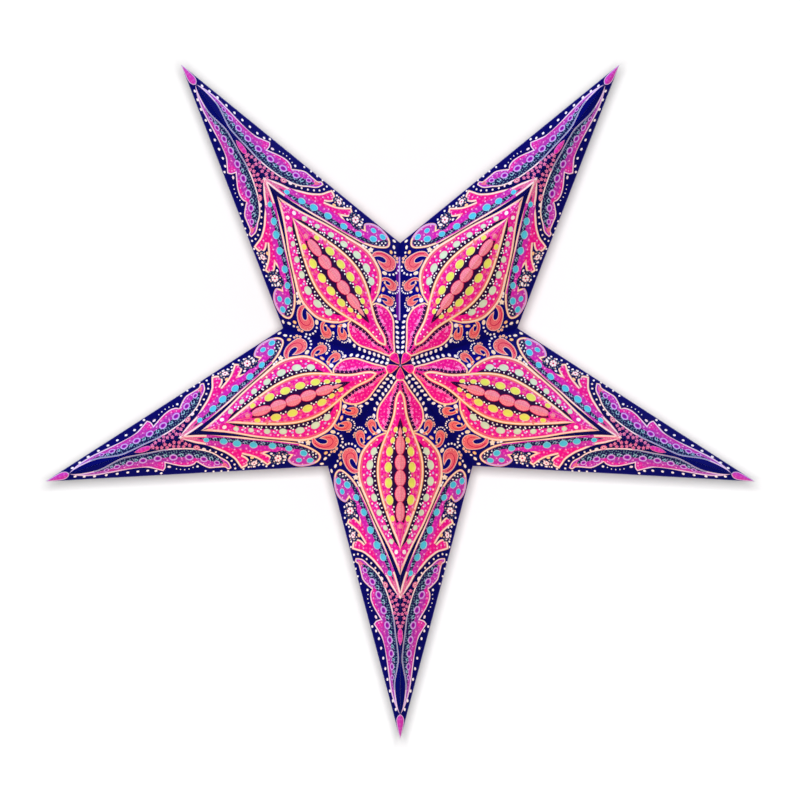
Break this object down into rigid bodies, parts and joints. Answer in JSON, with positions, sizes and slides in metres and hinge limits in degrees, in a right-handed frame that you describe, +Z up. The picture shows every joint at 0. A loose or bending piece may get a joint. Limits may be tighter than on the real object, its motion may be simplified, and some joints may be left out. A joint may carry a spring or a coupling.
{
  "type": "paper star lantern",
  "caption": "Folding star lantern shell of printed card with punched bead windows over translucent liners, open at one seam so that it folds shut like a fan.",
  "frame": {"origin": "the notch at the top of the open seam, between the two upper points, where the lantern hangs", "axes": "+Z up, -Y is the printed front that faces the viewer, +X to the right seen from the front"},
  "size_m": [0.5978, 0.1996, 0.5686],
  "materials": {
    "printed_card": "coloured print on smooth card, low sheen",
    "bare_card": "unprinted off-white card, matt",
    "liner_tissue": "translucent dyed tissue in yellow, pale green and blue bands",
    "eyelet_brass": "pressed brass, light wear"
  },
  "bodies": {
    "point_1_front_a": {"point_1_front_panel_a": "printed_card", "point_1_front_liner_a": "liner_tissue", "seam_eyelet_front_a_1": "eyelet_brass", "seam_eyelet_front_a_2": "eyelet_brass"},
    "point_1_front_b": {"point_1_front_panel_b": "printed_card", "point_1_front_liner_b": "liner_tissue"},
    "point_2_front_a": {"point_2_front_panel_a": "printed_card", "point_2_front_liner_a": "liner_tissue", "point_2_front_valley_lap": "bare_card"},
    "point_2_front_b": {"point_2_front_panel_b": "printed_card", "point_2_front_liner_b": "liner_tissue"},
    "point_3_front_a": {"point_3_front_panel_a": "printed_card", "point_3_front_liner_a": "liner_tissue", "point_3_front_valley_lap": "bare_card"},
    "point_3_front_b": {"point_3_front_panel_b": "printed_card", "point_3_front_liner_b": "liner_tissue"},
    "point_4_front_a": {"point_4_front_panel_a": "printed_card", "point_4_front_liner_a": "liner_tissue", "point_4_front_valley_lap": "bare_card"},
    "point_4_front_b": {"point_4_front_panel_b": "printed_card", "point_4_front_liner_b": "liner_tissue"},
    "point_5_front_a": {"point_5_front_panel_a": "printed_card", "point_5_front_liner_a": "liner_tissue", "point_5_front_valley_lap": "bare_card"},
    "point_5_front_b": {"point_5_front_panel_b": "printed_card", "point_5_front_liner_b": "liner_tissue", "seam_eyelet_front_b_1": "eyelet_brass", "seam_eyelet_front_b_2": "eyelet_brass"},
    "point_1_back_a": {"point_1_back_panel_a": "printed_card", "point_1_back_liner_a": "liner_tissue", "point_1_side_lap": "bare_card", "seam_eyelet_back_a_1": "eyelet_brass"},
    "point_1_back_b": {"point_1_back_panel_b": "printed_card", "point_1_back_liner_b": "liner_tissue"},
    "point_2_back_a": {"point_2_back_panel_a": "printed_card", "point_2_back_liner_a": "liner_tissue", "point_2_back_valley_lap": "bare_card", "point_2_side_lap": "bare_card"},
    "point_2_back_b": {"point_2_back_panel_b": "printed_card", "point_2_back_liner_b": "liner_tissue"},
    "point_3_back_a": {"point_3_back_panel_a": "printed_card", "point_3_back_liner_a": "liner_tissue", "point_3_back_valley_lap": "bare_card", "point_3_side_lap": "bare_card"},
    "point_3_back_b": {"point_3_back_panel_b": "printed_card", "point_3_back_liner_b": "liner_tissue"},
    "point_4_back_a": {"point_4_back_panel_a": "printed_card", "point_4_back_liner_a": "liner_tissue", "point_4_back_valley_lap": "bare_card", "point_4_side_lap": "bare_card"},
    "point_4_back_b": {"point_4_back_panel_b": "printed_card", "point_4_back_liner_b": "liner_tissue"},
    "point_5_back_a": {"point_5_back_panel_a": "printed_card", "point_5_back_liner_a": "liner_tissue", "point_5_back_valley_lap": "bare_card", "point_5_side_lap": "bare_card"},
    "point_5_back_b": {"point_5_back_panel_b": "printed_card", "point_5_back_liner_b": "liner_tissue", "seam_eyelet_back_b_1": "eyelet_brass"}
  },
  "joints": [
    {"name": "point_1_ridge_fold", "type": "hinge", "parent": "point_1_front_a", "child": "point_1_front_b", "pos_m": [0.09258, -0.05, 0.02342], "axis": [0.5602, 0.3026, 0.7711], "range_deg": [0, 75.38]},
    {"name": "valley_1_to_2_fold", "type": "hinge", "parent": "point_1_front_b", "child": "point_2_front_a", "pos_m": [0.04945, -0.05, -0.08793], "axis": [-0.6856, -0.6931, -0.2227], "range_deg": [0, 116.75]},
    {"name": "point_1_side_a_fold", "type": "hinge", "parent": "point_1_front_a", "child": "point_1_back_a", "pos_m": [0.09258, 0, 0.07542], "axis": [0.7753, 0, 0.6316], "range_deg": [0, 75.41]},
    {"name": "point_1_side_b_fold", "type": "hinge", "parent": "point_1_front_b", "child": "point_1_back_b", "pos_m": [0.14203, 0, 0.03949], "axis": [-0.3611, 0, -0.9325], "range_deg": [0, 75.41]},
    {"name": "point_2_ridge_fold", "type": "hinge", "parent": "point_2_front_a", "child": "point_2_front_b", "pos_m": [0.14979, -0.05, -0.15267], "axis": [0.9065, 0.3026, -0.2945], "range_deg": [0, 75.43]},
    {"name": "valley_2_to_3_fold", "type": "hinge", "parent": "point_2_front_b", "child": "point_3_front_a", "pos_m": [0.03056, -0.05, -0.14607], "axis": [-0.4237, -0.6931, 0.5832], "range_deg": [0, 116.75]},
    {"name": "point_2_side_a_fold", "type": "hinge", "parent": "point_2_front_a", "child": "point_2_back_a", "pos_m": [0.19925, 0, -0.1366], "axis": [0.8403, 0, -0.5422], "range_deg": [0, 75.41]},
    {"name": "point_2_side_b_fold", "type": "hinge", "parent": "point_2_front_b", "child": "point_2_back_b", "pos_m": [0.18036, 0, -0.19474], "axis": [-0.9985, 0, 0.0553], "range_deg": [0, 75.41]},
    {"name": "point_3_ridge_fold", "type": "hinge", "parent": "point_3_front_a", "child": "point_3_front_b", "pos_m": [0, -0.05, -0.2615], "axis": [0, 0.3026, -0.9531], "range_deg": [0, 75.43]},
    {"name": "valley_3_to_4_fold", "type": "hinge", "parent": "point_3_front_b", "child": "point_4_front_a", "pos_m": [-0.03056, -0.05, -0.14607], "axis": [0.4237, -0.6931, 0.5832], "range_deg": [0, 116.75]},
    {"name": "point_3_side_a_fold", "type": "hinge", "parent": "point_3_front_a", "child": "point_3_back_a", "pos_m": [0.03056, 0, -0.30357], "axis": [-0.256, 0, -0.9667], "range_deg": [0, 75.41]},
    {"name": "point_3_side_b_fold", "type": "hinge", "parent": "point_3_front_b", "child": "point_3_back_b", "pos_m": [-0.03056, 0, -0.30357], "axis": [-0.256, 0, 0.9667], "range_deg": [0, 75.41]},
    {"name": "point_4_ridge_fold", "type": "hinge", "parent": "point_4_front_a", "child": "point_4_front_b", "pos_m": [-0.14979, -0.05, -0.15267], "axis": [-0.9065, 0.3026, -0.2945], "range_deg": [0, 75.43]},
    {"name": "valley_4_to_5_fold", "type": "hinge", "parent": "point_4_front_b", "child": "point_5_front_a", "pos_m": [-0.04945, -0.05, -0.08793], "axis": [0.6856, -0.6931, -0.2227], "range_deg": [0, 116.75]},
    {"name": "point_4_side_a_fold", "type": "hinge", "parent": "point_4_front_a", "child": "point_4_back_a", "pos_m": [-0.18036, 0, -0.19474], "axis": [-0.9985, 0, -0.0553], "range_deg": [0, 75.41]},
    {"name": "point_4_side_b_fold", "type": "hinge", "parent": "point_4_front_b", "child": "point_4_back_b", "pos_m": [-0.19925, 0, -0.1366], "axis": [0.8403, 0, 0.5422], "range_deg": [0, 75.41]},
    {"name": "point_5_ridge_fold", "type": "hinge", "parent": "point_5_front_a", "child": "point_5_front_b", "pos_m": [-0.09258, -0.05, 0.02342], "axis": [-0.5602, 0.3026, 0.7711], "range_deg": [0, 75.43]},
    {"name": "point_5_side_a_fold", "type": "hinge", "parent": "point_5_front_a", "child": "point_5_back_a", "pos_m": [-0.14203, 0, 0.03949], "axis": [-0.3611, 0, 0.9325], "range_deg": [0, 75.41]},
    {"name": "point_5_side_b_fold", "type": "hinge", "parent": "point_5_front_b", "child": "point_5_back_b", "pos_m": [-0.09258, 0, 0.07542], "axis": [0.7753, 0, -0.6316], "range_deg": [0, 75.41]}
  ],
  "couplings": [
    {"joint": "valley_1_to_2_fold", "follows": "point_1_ridge_fold", "ratio": 1.5481},
    {"joint": "point_1_side_a_fold", "follows": "point_1_ridge_fold", "ratio": 0.99973},
    {"joint": "point_1_side_b_fold", "follows": "point_1_ridge_fold", "ratio": 0.99973},
    {"joint": "point_2_ridge_fold", "follows": "point_1_ridge_fold", "ratio": 1},
    {"joint": "valley_2_to_3_fold", "follows": "point_1_ridge_fold", "ratio": 1.5481},
    {"joint": "point_2_side_a_fold", "follows": "point_1_ridge_fold", "ratio": 0.99973},
    {"joint": "point_2_side_b_fold", "follows": "point_1_ridge_fold", "ratio": 0.99973},
    {"joint": "point_3_ridge_fold", "follows": "point_1_ridge_fold", "ratio": 1},
    {"joint": "valley_3_to_4_fold", "follows": "point_1_ridge_fold", "ratio": 1.5481},
    {"joint": "point_3_side_a_fold", "follows": "point_1_ridge_fold", "ratio": 0.99973},
    {"joint": "point_3_side_b_fold", "follows": "point_1_ridge_fold", "ratio": 0.99973},
    {"joint": "point_4_ridge_fold", "follows": "point_1_ridge_fold", "ratio": 1},
    {"joint": "valley_4_to_5_fold", "follows": "point_1_ridge_fold", "ratio": 1.5481},
    {"joint": "point_4_side_a_fold", "follows": "point_1_ridge_fold", "ratio": 0.99973},
    {"joint": "point_4_side_b_fold", "follows": "point_1_ridge_fold", "ratio": 0.99973},
    {"joint": "point_5_ridge_fold", "follows": "point_1_ridge_fold", "ratio": 1},
    {"joint": "point_5_side_a_fold", "follows": "point_1_ridge_fold", "ratio": 0.99973},
    {"joint": "point_5_side_b_fold", "follows": "point_1_ridge_fold", "ratio": 0.99973}
  ]
}
